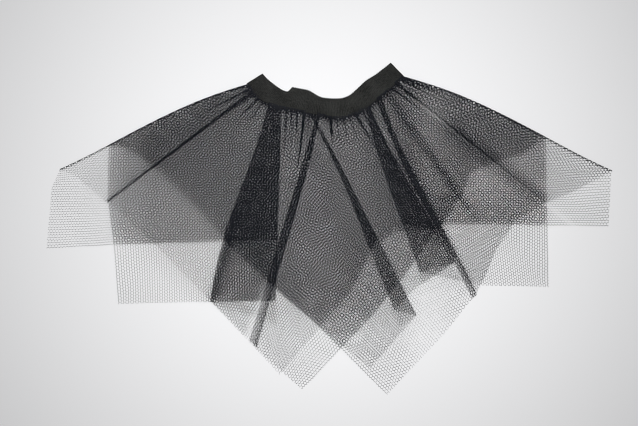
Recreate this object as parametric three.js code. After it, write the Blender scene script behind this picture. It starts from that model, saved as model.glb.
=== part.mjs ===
// A tulle skirt with a handkerchief hem, laid flat on its back.
//
// The maker cuts two equal rectangles of net, cuts a round waist hole in the middle of each, lays one
// across the other at a quarter turn, and sews both holes to a closed loop of wide elastic. Laid down,
// the tube folds flat at its two sides, the net gathers under the elastic, and a few deep pleats fall
// from it. Front layers lie on back layers, and the eight corners make the points of the hem.
//
// Millimetres. X runs along the waist, Y points from the hem to the waist, Z up from the surface.

import * as THREE from "three";

// ---- sizes of the cloth -----------------------------------------------------------------------

const WALL = 1.05; // thickness of the net's solid
const APART = 0.15; // each net keeps this far from the surface midway between the two
const LEVEL = 3.2; // from one doubled net to the next one lying on it
const TURN = LEVEL / 2; // radius of a fold
const BED = APART + WALL; // height of the lowest midway surface, so that its net lies on the surface

const SEAM_GAP = 0.7; // from the elastic's lower edge to the middle of the net, square to the edge
const ELASTIC = 1.8; // thickness of the elastic
const ELASTIC_BED = ELASTIC / 2;

const PILE = 2 * LEVEL; // what a pleat adds to the height of the cloth that crosses it
const PILE_MARGIN = [4, 0.03]; // the pile stays full this far past the pleat, in mm and per mm of depth
const PILE_RAMP = [46, 0.25]; // and is gone this much further on
const DROP_RAMP = 50; // the front sinks to the surface over this length past the back's hem

const GATHERS = 50; // waves in a whole turn round the point that the gathers run from
const GATHER_HEIGHT = 0.8;
const GATHER_LENGTH = 75;
const GATHER_CENTRE = [-5, 255];

const STRIP_AT_WAIST = 5.2; // widest strip of faces at the waist
const STRIP_AT_HEM = 20; // and at the hem
const DEPTH_STEPS = 5; // rows of faces from the waist to the shorter net's hem
const EDGE_STEPS = 3; // rows of faces from there to the longer net's hem
const EDGE_START = 2; // where those start, short of the shorter net's hem
const FOLD_START = { side: 3.2, pleat: 1.8 }; // how far below the seam folds start
const FOLD_ANGLES = [0, 45, 90, 135, 180];

// ---- the elastic: lower edge x, y and upper edge x, y, from the left fold to the right one ----------

const ELASTIC_EDGES = [
  [-110.0, 194.4, -89.5, 209.2],
  [-101.2, 180.9, -83.7, 202.0],
  [-90.5, 172.1, -73.6, 194.5],
  [-77.0, 166.1, -62.1, 186.5],
  [-62.1, 162.0, -51.3, 184.3],
  [-41.9, 158.0, -35.1, 180.9],
  [-18.9, 153.2, -16.2, 178.2],
  [1.4, 149.2, 1.4, 176.2],
  [18.9, 149.2, 16.9, 176.2],
  [35.1, 153.9, 27.7, 180.2],
  [50.0, 162.0, 38.5, 189.5],
  [63.5, 172.1, 49.3, 200.0],
  [79.7, 186.3, 63.5, 208.6],
  [99.9, 204.5, 83.0, 223.7],
];
const BACK_PEEKS = { from: -51.3, to: -9.4, by: 6.1 }; // where the back elastic shows above the front

// ---- the lines of the cloth, round the flattened tube, front first ---------------------------------
//
// Each line runs straight down the cloth from the waist to a far end. fold is 1 where the cloth turns
// back after running to the right, -1 after running to the left, and 0 where it lies on. pleat names the
// pleat whose deep turn or visible edge the fold is. outer and inner say how far down the line each net
// reaches, and bow is how far the line swells sideways.

const LINE_COLUMNS = ["name", "pleat", "fold", "waistX", "farX", "farY", "outer", "inner", "bow"];
const FRONT_LINES = [
  ["left_fold", "", -1, -109.6, -362, 80, 1.0, 0.736, -8],
  ["left_curve", "", 0, -107.6, -374, 57, 1.0, 0.708, -4],
  ["left_corner_outer", "", 0, -104.0, -381, -26, 1.0, 0.694, 0],
  ["left_corner_inner", "", 0, -90.5, -285, -101, 0.7, 1.0, 0],
  ["wide_pleat_deep", "wide", 1, -64.8, -73, -96, 0.686, 1.0, 0],
  ["wide_pleat_edge", "wide", -1, -80.0, -158, -96, 0.697, 1.0, -9],
  ["front_tuck_deep", "front_tuck", 1, -13.4, -95, -160, 0.742, 1.0, -4],
  ["front_tuck_edge", "front_tuck", -1, -17.4, -108, -147, 0.732, 1.0, -4],
  ["front_point_inner", "", 0, -5.4, -36, -217, 0.729, 1.0, 0],
  ["front_point_outer", "", 0, 28.4, 78, -224, 1.0, 0.699, 0],
  ["front_side", "", 0, 48.6, 150, -146, 1.0, 0.661, 0],
  ["tail_tuck_deep", "tail_tuck", 1, 72.2, 198, -88, 1.0, 0.646, 0],
  ["tail_tuck_edge", "tail_tuck", -1, 67.2, 192, -93.5, 1.0, 0.644, 0],
  ["right_drape", "", 0, 77.6, 225, -27, 1.0, 0.678, 0],
  ["right_drape_high", "", 0, 83.7, 251, 11, 1.0, 0.646, 0],
  ["side_pleat_deep", "side", 1, 92.8, 293, 37, 1.0, 0.662, 0],
  ["side_pleat_edge", "side", -1, 88.8, 288, 35, 1.0, 0.662, 0],
  ["right_curve", "", 0, 97.2, 335, 54, 1.0, 0.691, 3],
];
const BACK_LINES = [
  ["right_fold", "", 1, 99.5, 381, 78, 1.0, 0.679, 9.5],
  ["right_corner_outer", "", 0, 93.8, 377, 3, 1.0, 0.706, 0],
  ["right_corner_inner", "", 0, 83.7, 297, -78, 0.687, 1.0, 0],
  ["back_side", "", 0, 80.3, 204, -76, 0.69, 1.0, 0],
  ["back_pleat_deep", "back", -1, 56.0, 123, -58, 0.703, 1.0, 0],
  ["back_pleat_edge", "back", 1, 60.5, 167, -45, 0.785, 1.0, 0],
  ["back_drape", "", 0, 52.7, 113, -81, 0.677, 1.0, 0],
  ["back_tuck_deep", "back_tuck", -1, -23.2, 89, -109, 0.689, 1.0, 8],
  ["back_tuck_edge", "back_tuck", 1, -19.0, 116, -115, 0.625, 1.0, 8],
  ["back_point_inner", "", 0, -27.0, 55, -188, 0.693, 1.0, 0],
  ["back_point_outer", "", 0, -38.0, -66, -197, 1.0, 0.71, 0],
  ["back_left", "", 0, -59.4, -161, -96, 1.0, 0.717, 0],
  ["back_left_high", "", 0, -85.1, -238, -18, 1.0, 0.69, 0],
  ["left_tuck_deep", "left_tuck", -1, -105.4, -300, 38.5, 1.0, 0.684, 0],
  ["left_tuck_edge", "left_tuck", 1, -101.2, -297, 34, 1.0, 0.676, 0],
  ["back_left_side", "", 0, -108.0, -342, 72, 1.0, 0.703, -4],
];

// ---- small helpers --------------------------------------------------------------------------------

const mix = (a, b, share) => a + (b - a) * share;
const mixPoint = (p, q, share) => [mix(p[0], q[0], share), mix(p[1], q[1], share)];
const minus = (p, q) => [p[0] - q[0], p[1] - q[1]];
const cross2 = (p, q) => p[0] * q[1] - p[1] * q[0];

// 1 up to 0, falling smoothly to 0 at 1.
function ease(x) {
  const s = Math.min(1, Math.max(0, x));
  return 1 - s * s * (3 - 2 * s);
}

// The height y at x on a run of points sorted by x.
function heightAt(points, x) {
  const next = Math.max(1, Math.min(points.length - 1, points.findIndex((p) => p[0] >= x)));
  const [a, b] = [points[next - 1], points[next]];
  return mix(a[1], b[1], (x - a[0]) / (b[0] - a[0]));
}

// The run that the net is sewn along: the elastic's lower edge, set off square to it.
const SEAM = ELASTIC_EDGES.map(([x, y], i) => {
  const before = ELASTIC_EDGES[Math.max(0, i - 1)];
  const after = ELASTIC_EDGES[Math.min(ELASTIC_EDGES.length - 1, i + 1)];
  const run = [after[0] - before[0], after[1] - before[1]];
  const length = Math.hypot(run[0], run[1]);
  return [x + (run[1] / length) * SEAM_GAP, y - (run[0] / length) * SEAM_GAP];
});
const waistPoint = (x) => [x, heightAt(SEAM, x)];

function readLine(row, front) {
  const line = Object.fromEntries(LINE_COLUMNS.map((column, i) => [column, row[i]]));
  const far = [line.farX, line.farY];
  const seam = waistPoint(line.waistX);
  const below = line.fold ? FOLD_START[line.pleat ? "pleat" : "side"] : 0;
  const start = below / Math.hypot(...minus(far, seam));
  const waist = mixPoint(seam, far, start);
  const outerHem = mixPoint(waist, far, line.outer);
  const innerHem = mixPoint(waist, far, line.inner);
  return { ...line, front, waist, far, outerHem, innerHem };
}

const LINES = [
  ...FRONT_LINES.map((row) => readLine(row, true)),
  ...BACK_LINES.map((row) => readLine(row, false)),
];

// ---- pleats: each lies between its two folds --------------------------------------------------------

const PLEATS = LINES.flatMap((line, i) => {
  const edge = LINES[i + 1];
  if (!line.pleat || !edge || edge.pleat !== line.pleat) return [];
  const [left, right] = line.fold > 0 ? [edge, line] : [line, edge];
  return [{ name: line.pleat, front: line.front, left, right }];
});

// How far a point lies outside a line, to the side that sign gives, and how far down the line it is.
function beside(point, line, sign) {
  const run = minus(line.far, line.waist);
  const length = Math.hypot(run[0], run[1]);
  const from = minus(point, line.waist);
  const down = (from[0] * run[0] + from[1] * run[1]) / length;
  return { out: (sign * cross2(run, from)) / length, down, past: down - length };
}

// The height that a pleat adds at a point: full over the pleat, and gone a little way past it.
function pileAt(point, pleat) {
  const left = beside(point, pleat.left, -1);
  const right = beside(point, pleat.right, 1);
  const down = Math.max(0, (left.down + right.down) / 2);
  const margin = PILE_MARGIN[0] + PILE_MARGIN[1] * down;
  const ramp = PILE_RAMP[0] + PILE_RAMP[1] * down;
  const out = Math.max(left.out, right.out, Math.min(left.past, right.past), 0);
  return PILE * ease((out - margin) / ramp);
}

const piles = (point, pleats) => pleats.reduce((sum, pleat) => sum + pileAt(point, pleat), 0);

// ---- where the front sinks to the surface: past the far ends of the back ----------------------------

const BACK_FAR_ENDS = LINES.filter((line) => !line.front).map((line) => line.far);
const BACK_OUTLINE = [...BACK_FAR_ENDS, LINES[0].far, waistPoint(-109), [0, 230], waistPoint(99)];

function pastTheBack(point) {
  let inside = false;
  let nearest = Infinity;
  BACK_OUTLINE.forEach((a, i) => {
    const b = BACK_OUTLINE[(i + 1) % BACK_OUTLINE.length];
    const run = minus(b, a);
    const from = minus(point, a);
    const along = (from[0] * run[0] + from[1] * run[1]) / (run[0] ** 2 + run[1] ** 2);
    const share = Math.min(1, Math.max(0, along));
    nearest = Math.min(nearest, Math.hypot(from[0] - share * run[0], from[1] - share * run[1]));
    const spans = a[1] > point[1] !== b[1] > point[1];
    if (spans && point[0] < a[0] + (run[0] * (point[1] - a[1])) / run[1]) inside = !inside;
  });
  return inside ? 0 : nearest;
}

// The small gathers that run down from the elastic and die out.
function gatherAt(point) {
  const from = minus(point, GATHER_CENTRE);
  const turn = Math.atan2(from[0], -from[1]);
  const below = heightAt(SEAM, Math.min(99, Math.max(-109, point[0]))) - point[1];
  const fade = ease(Math.max(below, Math.abs(point[0]) - 110) / GATHER_LENGTH);
  return (GATHER_HEIGHT * fade * (1 - Math.cos(GATHERS * turn))) / 2;
}

// ---- the height of each strip of cloth between two lines ---------------------------------------------

// Height of the midway surface after line i: what lies under it, the pleats passed so far, and the
// middle layer of the pleat that it is in.
function stripHeight(i) {
  const { front } = LINES[i];
  const done = PLEATS.filter((pleat) => pleat.front === front && lastLine(pleat) <= i);
  const inPleat = PLEATS.some((pleat) => pleat.front === front && lastLine(pleat) - 1 === i);
  const under = front ? PLEATS.filter((pleat) => !pleat.front) : [];
  const level = (front ? LEVEL : 0) + (inPleat ? LEVEL : 0);
  return (point) => {
    const drop = front ? LEVEL * (1 - ease(pastTheBack(point) / DROP_RAMP)) : 0;
    return BED + level + piles(point, under) + piles(point, done) - drop + gatherAt(point);
  };
}

function lastLine(pleat) {
  return Math.max(LINES.indexOf(pleat.left), LINES.indexOf(pleat.right));
}

// ---- columns: straight runs down the cloth ----------------------------------------------------------

// How far down the run from waist to far the straight hem between two points lies.
function hemShare(waist, far, hemA, hemB) {
  const run = minus(far, waist);
  const hem = minus(hemB, hemA);
  return cross2(minus(hemA, waist), hem) / cross2(run, hem);
}

// The columns of the strip after line i, without its first one, which belongs to the fold or line.
function stripColumns(i) {
  const a = LINES[i];
  const b = LINES[(i + 1) % LINES.length];
  const height = stripHeight(i);
  const atWaist = Math.hypot(...minus(b.waist, a.waist));
  const atHem = Math.hypot(...minus(b.far, a.far));
  const steps = Math.max(2, Math.ceil(atWaist / STRIP_AT_WAIST), Math.ceil(atHem / STRIP_AT_HEM));
  return Array.from({ length: steps + 1 }, (_, k) => {
    const share = k / steps;
    const end = k === 0 ? a : k === steps ? b : null;
    const waist = end ? end.waist : waistPoint(mix(a.waistX, b.waistX, share));
    const far = mixPoint(a.far, b.far, share);
    return {
      waist,
      far,
      bow: mix(a.bow, b.bow, share),
      outer: end ? end.outer : hemShare(waist, far, a.outerHem, b.outerHem),
      inner: end ? end.inner : hemShare(waist, far, a.innerHem, b.innerHem),
      side: 0,
      at: height,
    };
  });
}

// The columns of a turn: from the height of the strip before to that of the strip after, out and back.
function foldColumns(line, before, after) {
  return FOLD_ANGLES.map((degrees) => {
    const angle = (degrees * Math.PI) / 180;
    return {
      waist: line.waist,
      far: line.far,
      bow: line.bow,
      outer: line.outer,
      inner: line.inner,
      side: line.fold * TURN * Math.sin(angle),
      at: (point) => {
        const [from, to] = [before(point), after(point)];
        const way = Math.sign(to - from);
        const spare = Math.abs(to - from) - LEVEL;
        return from + way * (TURN * (1 - Math.cos(angle)) + spare * (1 - ease((degrees - 45) / 90)));
      },
    };
  });
}

function allColumns() {
  return LINES.flatMap((line, i) => {
    const strip = stripColumns(i).slice(1, -1);
    const before = stripHeight((i + LINES.length - 1) % LINES.length);
    const start = line.fold ? foldColumns(line, before, stripHeight(i)) : [stripColumns(i)[0]];
    return [...start, ...strip];
  });
}

// A point of the midway surface: down the column by share, swelled by its bow and set off by its side.
function pointOf(column, share) {
  const run = minus(column.far, column.waist);
  const length = Math.hypot(run[0], run[1]);
  const swell = column.bow * 6.75 * share * (1 - share) ** 2;
  const across = [-run[1] / length, run[0] / length];
  const plan = [
    column.waist[0] + run[0] * share + across[0] * swell,
    column.waist[1] + run[1] * share + across[1] * swell,
  ];
  return [plan[0] + across[0] * column.side, plan[1] + across[1] * column.side, column.at(plan)];
}

// The shares down a column at which a net has its rows of vertices. Both nets share all but the last.
function rowShares(column, hem) {
  const run = minus(column.far, column.waist);
  const shared = Math.min(column.outer, column.inner) - EDGE_START / Math.hypot(run[0], run[1]);
  const upper = Array.from({ length: DEPTH_STEPS + 1 }, (_, k) => shared * (k / DEPTH_STEPS) ** 1.25);
  const lower = Array.from({ length: EDGE_STEPS }, (_, k) => mix(shared, hem, (k + 1) / EDGE_STEPS));
  return [...upper, ...lower];
}

// ---- walls ------------------------------------------------------------------------------------------

// The unit normal of a closed ring of columns at column i, row k, pointing out of the tube.
function normalAt(grid, i, k) {
  const at = (column, row) => new THREE.Vector3(...grid[(column + grid.length) % grid.length][row]);
  const here = at(i, k);
  const along = at(i + 1, k).sub(here).normalize();
  along.add(here.clone().sub(at(i - 1, k)).normalize());
  const down = at(i, Math.min(k + 1, grid[i].length - 1)).sub(at(i, Math.max(k - 1, 0)));
  return down.cross(along).normalize();
}

// A closed wall from a ring of columns: an outer and an inner skin, joined at both rims.
function wallMesh(name, grid, outside, inside, colour, normals) {
  const rows = grid[0].length;
  const columns = grid.length;
  const moved = (point, normal, offset) => new THREE.Vector3(...point).addScaledVector(normal, offset);
  const skins = [outside, inside].map((offset) =>
    grid.map((column, i) => column.map((point, k) => moved(point, normals[i][k], offset))),
  );
  const positions = skins.flat(2).flatMap((v) => [v.x, v.y, v.z]);
  const index = (skin, i, k) => (skin * columns + (i % columns)) * rows + k;
  const faces = [];
  const quad = (a, b, c, d) => faces.push(a, b, c, a, c, d);
  for (let i = 0; i < columns; i += 1) {
    const next = i + 1;
    const last = rows - 1;
    for (let k = 0; k < last; k += 1) {
      quad(index(0, i, k), index(0, i, k + 1), index(0, next, k + 1), index(0, next, k));
      quad(index(1, i, k), index(1, next, k), index(1, next, k + 1), index(1, i, k + 1));
    }
    quad(index(0, i, 0), index(0, next, 0), index(1, next, 0), index(1, i, 0));
    quad(index(0, i, last), index(1, i, last), index(1, next, last), index(0, next, last));
  }
  const geometry = new THREE.BufferGeometry();
  geometry.setAttribute("position", new THREE.Float32BufferAttribute(positions, 3));
  geometry.setIndex(faces);
  const material = new THREE.MeshStandardMaterial({ color: colour, roughness: 0.8 });
  const mesh = new THREE.Mesh(geometry, material);
  mesh.name = name;
  return mesh;
}

function normalsOf(grid) {
  return grid.map((column, i) => column.map((_, k) => normalAt(grid, i, k)));
}

// ---- the two nets -----------------------------------------------------------------------------------

const COLUMNS = allColumns();

function netMesh(name, net, outside, inside, colour) {
  const grid = COLUMNS.map((column) => {
    const shares = rowShares(column, column[net]);
    return shares.map((share) => pointOf(column, share));
  });
  return wallMesh(name, grid, outside, inside, colour, normalsOf(grid));
}

// ---- the elastic ------------------------------------------------------------------------------------

const BACK_PLEATS = PLEATS.filter((pleat) => !pleat.front);
const FRONT_PLEATS = PLEATS.filter((pleat) => pleat.front);

// Columns of the elastic: the front run from left to right, and the back run home again. Its lower edge
// follows the height of the net that it carries, and its upper edge lies down.
function elasticGrid() {
  const lowerHeight = (point, front) => {
    const under = piles(point, BACK_PLEATS);
    const over = piles(point, FRONT_PLEATS);
    return front ? BED + LEVEL + under + over / 4 : BED + under / 2;
  };
  const column = ([x0, y0, x1, y1], front) => {
    const peek = !front && x1 > BACK_PEEKS.from - 1 && x1 < BACK_PEEKS.to ? BACK_PEEKS.by : 0;
    const low = lowerHeight([x0, y0], front);
    const high = front ? ELASTIC_BED + LEVEL : ELASTIC_BED;
    return [0, 0.5, 1].map((share) => [
      mix(x0, x1, share),
      mix(y0, y1 + peek, share),
      mix(high, low, (1 - share) ** 2),
    ]);
  };
  const turn = (edge, sign) => {
    const [front, back] = [column(edge, true), column(edge, false)];
    const square = new THREE.Vector2(edge[3] - edge[1], edge[0] - edge[2]);
    const along = square.normalize().multiplyScalar(sign);
    return [45, 90, 135].map((degrees) => {
      const angle = (degrees * Math.PI) / 180;
      return back.map((point, k) => [
        point[0] + along.x * TURN * Math.sin(angle),
        point[1] + along.y * TURN * Math.sin(angle),
        mix(front[k][2], point[2], (1 - Math.cos(angle)) / 2),
      ]);
    });
  };
  const front = ELASTIC_EDGES.map((edge) => column(edge, true));
  const back = ELASTIC_EDGES.map((edge) => column(edge, false)).reverse();
  return [...front, ...turn(ELASTIC_EDGES.at(-1), 1), ...back, ...turn(ELASTIC_EDGES[0], -1).reverse()];
}

function elasticMesh(name, colour) {
  const grid = elasticGrid().map((column) => [...column].reverse());
  return wallMesh(name, grid, ELASTIC / 2, -ELASTIC / 2, colour, normalsOf(grid));
}

// ---- the skirt --------------------------------------------------------------------------------------

const skirt = new THREE.Group();
skirt.name = "tulle_skirt";
skirt.add(elasticMesh("waistband", 0x17171a));
skirt.add(netMesh("net_piece_outer", "outer", APART + WALL, APART, 0x2b2b30));
skirt.add(netMesh("net_piece_inner", "inner", -APART, -APART - WALL, 0x3a3a40));

// The origin is on the surface, under the middle of the laid-out skirt.
const box = new THREE.Box3().setFromObject(skirt);
const middle = box.getCenter(new THREE.Vector3());
skirt.children.forEach((mesh) => mesh.geometry.translate(-middle.x, -middle.y, -box.min.z));

export default skirt;
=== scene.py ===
# %% [markdown]
# # A net skirt with a handkerchief hem, laid flat
#
# The maker cuts two equal rectangles of black net, cuts a round waist hole in the middle of each, lays
# one over the other at a quarter turn and sews both holes to a loop of wide elastic. Here the skirt lies
# on a pale surface with its front on its back.
#
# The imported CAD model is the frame: every piece below takes the place of one of its nodes and lies
# where that node lies. Cloth could be draped by a simulation instead, but a skirt that somebody has laid
# out by hand keeps the folds they gave it, so each fold is a named line here and the cloth is worked out
# from those lines. All lengths in the tables are millimetres, and the meshes are in metres.

import math

import bpy
import numpy as np
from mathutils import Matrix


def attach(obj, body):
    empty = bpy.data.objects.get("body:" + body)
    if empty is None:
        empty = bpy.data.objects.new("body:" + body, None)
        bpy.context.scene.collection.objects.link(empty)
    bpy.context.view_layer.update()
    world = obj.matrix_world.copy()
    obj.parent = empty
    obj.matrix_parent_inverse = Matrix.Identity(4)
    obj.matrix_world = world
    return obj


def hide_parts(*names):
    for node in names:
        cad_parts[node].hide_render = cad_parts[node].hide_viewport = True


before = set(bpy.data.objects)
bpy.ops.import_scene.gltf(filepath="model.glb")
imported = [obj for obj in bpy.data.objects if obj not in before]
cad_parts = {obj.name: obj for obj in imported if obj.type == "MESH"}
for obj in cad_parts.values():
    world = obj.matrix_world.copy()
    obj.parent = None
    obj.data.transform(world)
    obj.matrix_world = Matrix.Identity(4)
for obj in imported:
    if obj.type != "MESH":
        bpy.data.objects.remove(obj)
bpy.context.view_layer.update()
print("nodes", sorted(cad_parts))

# %% [markdown]
# ## Sizes
#
# The net is far thinner than the wall that stands for it in the CAD model, but it lies in the same
# place: a surface midway between the two nets carries both, one a little above it and one a little
# below. A fold lifts the cloth by one level, and a pleat by two. Where a size grows down the cloth, it
# is a pair: its value at the waist, and how much it grows for each millimetre below.

# %% Sizes of the cloth, in millimetres
MM = 0.001
NET_LONG = 675.0
NET_SHORT = 527.0
HOLE_RADIUS = 92.0
HOLE_STEP = 3.9  # from one hole in the net to the next
THREAD = 0.405  # how wide the net's thread is

LEVEL = 3.2  # from one layer of the laid-out cloth to the next
TURN = 0.9  # how far a fold swells sideways
BED = 0.45  # the lowest layer's height
NET_OFFSET = 0.3  # of each net from the surface midway between them
PILE = 2 * LEVEL  # how far a pleat lifts the cloth that crosses it
PILE_MARGIN = (4.0, 0.03)  # how far beside the pleat it is still lifted in full
PILE_RAMP = (20.0, 0.12)  # and over how much more it sinks back
DROP_RAMP = 26.0  # past the back's hem, the front sinks over this much
BILLOW = 2.6  # how far the drawn-in cloth stands off the surface
BILLOW_FROM, BILLOW_OVER = 35.0, 90.0  # from the hem

ELASTIC_WIDTH = 25.0
ELASTIC_THICK = 1.2
SEAM_GAP = 0.7  # the seam's line is this far below the elastic's edge
TUCKED = 3.0  # how far the net runs up under the elastic
SEAM_LIFT = 1.7  # the gathered net is thicker at the seam
SEAM_LIFT_LENGTH = 26.0

STRIP_AT_WAIST = 1.7  # the widest gaps between two columns of the grid
STRIP_AT_HEM = 3.4
NET_ROWS = 104  # points down each column of it
TURN_STEPS = 9  # columns in one fold

# %% [markdown]
# ## The lines of the cloth
#
# The elastic is a table of short cuts across it, from the left fold to the right one. The net is a table
# of lines down the cloth, in order round the flattened tube, and between two of them it is plain. fold is
# 1 where the cloth turns back after running right and -1 after running left. outer and inner are how far
# down its line each net reaches, so their rows also draw both hems. bow is how far the line swells
# sideways in its upper part, and a few lines swell further down as well.

# %% The elastic: lower edge x, y and upper edge x, y
ELASTIC_EDGES = np.array([
    (-110.0, 194.4, -89.5, 209.2),
    (-101.2, 180.9, -83.7, 202.6),
    (-90.5, 172.1, -73.6, 194.5),
    (-77.0, 166.1, -62.1, 186.5),
    (-62.1, 162.0, -51.3, 184.3),
    (-41.9, 158.0, -35.1, 180.9),
    (-18.9, 153.2, -16.2, 178.2),
    (1.4, 149.2, 1.4, 176.2),
    (18.9, 149.2, 16.9, 176.2),
    (35.1, 153.9, 27.7, 180.2),
    (50.0, 162.0, 38.5, 189.5),
    (63.5, 172.1, 49.3, 200.0),
    (79.7, 186.3, 63.5, 208.6),
    (99.9, 204.5, 83.0, 223.7),
])
PEEK = {"from": -56.0, "to": -7.0, "by": 7.8}  # the back elastic stands above the front one here
DIP = {"from": -12.0, "to": 26.0, "by": 3.4}  # and here the front one dips below it
print(len(ELASTIC_EDGES), "cuts across the elastic")

# %% The net: name, pleat, fold, waist x, far x, far y, outer, inner, bow
FRONT_LINES = [
    ("left_fold", "", -1, -109.6, -362, 80, 1.0, 0.736, -8),
    ("left_curve", "", 0, -107.6, -374, 57, 1.0, 0.708, -4),
    ("left_corner_outer", "", 0, -104.0, -381, -26, 1.0, 0.694, 0),
    ("left_corner_inner", "", 0, -90.5, -285, -101, 0.7, 1.0, 0),
    ("wide_pleat_deep", "wide", 1, -64.8, -73, -96, 0.686, 1.0, 0),
    ("wide_pleat_edge", "wide", -1, -80.0, -158, -96, 0.697, 1.0, 2),
    ("front_tuck_deep", "front_tuck", 1, -13.0, -98, -157, 0.742, 1.0, 3),
    ("front_tuck_edge", "front_tuck", -1, -15.6, -106, -149, 0.732, 1.0, 0),
    ("front_point_inner", "", 0, -5.4, -36, -217, 0.729, 1.0, 0),
    ("front_point_outer", "", 0, 28.4, 78, -224, 1.0, 0.699, 0),
    ("front_side", "", 0, 48.6, 150, -146, 1.0, 0.661, 0),
    ("tail_tuck_deep", "tail_tuck", 1, 69.2, 198, -88, 1.0, 0.646, -6),
    ("tail_tuck_edge", "tail_tuck", -1, 64.6, 193.2, -92.6, 1.0, 0.644, -6),
    ("right_drape", "", 0, 77.6, 225, -27, 1.0, 0.678, 0),
    ("right_drape_high", "", 0, 83.7, 251, 11, 1.0, 0.646, 0),
    ("side_pleat_deep", "side", 1, 91.6, 291.6, 36.6, 1.0, 0.662, 0),
    ("side_pleat_edge", "side", -1, 90.0, 290.0, 36.0, 1.0, 0.662, 0),
    ("right_curve", "", 0, 97.2, 335, 54, 1.0, 0.691, 3),
]
BACK_LINES = [
    ("right_fold", "", 1, 99.5, 381, 78, 1.0, 0.679, 9.5),
    ("right_corner_outer", "", 0, 93.8, 377, 3, 1.0, 0.706, 0),
    ("right_corner_inner", "", 0, 83.7, 297, -78, 0.687, 1.0, 0),
    ("back_side", "", 0, 80.3, 204, -76, 0.69, 1.0, 0),
    ("back_pleat_deep", "back", -1, 50.5, 123, -58, 0.703, 1.0, -4),
    ("back_pleat_edge", "back", 1, 54.5, 167, -45, 0.785, 1.0, -4),
    ("back_drape", "", 0, 47.0, 113, -81, 0.677, 1.0, 0),
    ("back_tuck_deep", "back_tuck", -1, -25.4, 89, -109, 0.689, 1.0, 5),
    ("back_tuck_edge", "back_tuck", 1, -23.0, 116, -115, 0.625, 1.0, 2),
    ("back_point_inner", "", 0, -27.0, 55, -188, 0.693, 1.0, 0),
    ("back_point_outer", "", 0, -38.0, -66, -197, 1.0, 0.71, 0),
    ("back_left", "", 0, -59.4, -161, -96, 1.0, 0.717, 0),
    ("back_left_high", "", 0, -85.1, -238, -18, 1.0, 0.69, 0),
    ("left_tuck_deep", "left_tuck", -1, -104.8, -299.4, 37.2, 1.0, 0.684, 0),
    ("left_tuck_edge", "left_tuck", 1, -103.2, -298.6, 36.0, 1.0, 0.676, 0),
    ("back_left_side", "", 0, -108.0, -342, 72, 1.0, 0.703, -4),
]
LINES = FRONT_LINES + BACK_LINES
LOW_BOW = {"wide_pleat_edge": -8.0}  # how far a line swells in its lower part
print(len(FRONT_LINES), "lines on the front and", len(BACK_LINES), "on the back")

# %% How much darker a fold is made: partly its threads seen edge on, partly painted shade in the crease
FOLD_DARK = {
    "left_fold": 0.07,
    "right_fold": 0.07,
    "left_tuck_deep": 0.02,
    "left_tuck_edge": 0.05,
    "side_pleat_deep": 0.0,
    "side_pleat_edge": 0.01,
}
PLEAT_DARK = 0.012  # on a fold that isn't named above, partly edge-on threads and partly painted shade
print(len(FOLD_DARK), "folds with a darkness of their own")

# %% The tables as arrays
NAMES = [line[0] for line in LINES]
FRONT = np.array([i < len(FRONT_LINES) for i in range(len(LINES))])
FOLD, WAIST_X, FAR_X, FAR_Y, OUTER, INNER, HIGH = np.array([line[2:] for line in LINES], float).T
BOW = np.stack([HIGH, [LOW_BOW.get(name, 0) for name in NAMES]], axis=1)
print(int(np.abs(FOLD).sum()), "of the lines are folds")

# %% [markdown]
# ## Helpers
#
# The seam runs just below the elastic. A point on it is found from its x by straight steps between the
# table's rows, for a whole array of points at once.


# %% The seam and the lines' ends
def unit(v):
    """Vectors divided by their own length."""
    return v / np.maximum(np.linalg.norm(v, axis=-1, keepdims=True), 1e-12)


def eased(x):
    """1 up to 0, then 1 - 3 x^2 + 2 x^3, and 0 from 1 on."""
    s = np.clip(x, 0, 1)
    return 1 - s * s * (3 - 2 * s)


lower_edge = ELASTIC_EDGES[:, :2]
padded_edge = np.pad(lower_edge, ((1, 1), (0, 0)), mode="edge")
edge_run = unit(padded_edge[2:] - padded_edge[:-2])
SEAM = lower_edge + SEAM_GAP * np.stack([edge_run[:, 1], -edge_run[:, 0]], axis=1)


def on_seam(x):
    """The seam's point at each x: its y is read off the table in straight steps."""
    return np.stack([x, np.interp(x, SEAM[:, 0], SEAM[:, 1])], axis=-1)


FAR = np.stack([FAR_X, FAR_Y], axis=1)
WAIST = on_seam(WAIST_X)
PLEAT_OF = [line[1] for line in LINES]
PLEATS = []
for first, second in zip(range(len(LINES)), range(1, len(LINES))):
    if PLEAT_OF[first] and PLEAT_OF[first] == PLEAT_OF[second]:
        left, right = (second, first) if FOLD[first] > 0 else (first, second)
        sides = {"left": left, "right": right, "last": second, "front": bool(FRONT[first])}
        PLEATS.append({"name": PLEAT_OF[first], **sides})
print("pleats", [p["name"] for p in PLEATS])


# %% [markdown]
# ## How high the cloth lies
#
# A pleat is three layers. What crosses it is lifted by two levels over the pleat and sinks back a little
# way past it. The front lies one level above the back, and beyond the back's hem it sinks to the surface.
# Cloth that settles in a simulation would find such heights by itself, but with a rule for each of them
# the layers can be checked one by one. Every rise and fall is one smooth step, so the light on the cloth
# changes gently, as it does on net.


# %% The pile over a pleat
def outside_pleat(plan, pleat):
    """The distance outside the pleat's two folds, and how far down them each point is."""
    out, down, past = [], [], []
    for line, sign in ((pleat["left"], -1), (pleat["right"], 1)):
        run = FAR[line] - WAIST[line]
        length = np.hypot(*run)
        away = plan - WAIST[line]
        out.append(sign * (run[0] * away[..., 1] - run[1] * away[..., 0]) / length)
        down.append((away @ run) / length)
        past.append(down[-1] - length)
    depth = np.maximum((down[0] + down[1]) / 2, 0)
    return np.maximum.reduce([out[0], out[1], np.minimum(past[0], past[1]), 0 * depth]), depth


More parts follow.
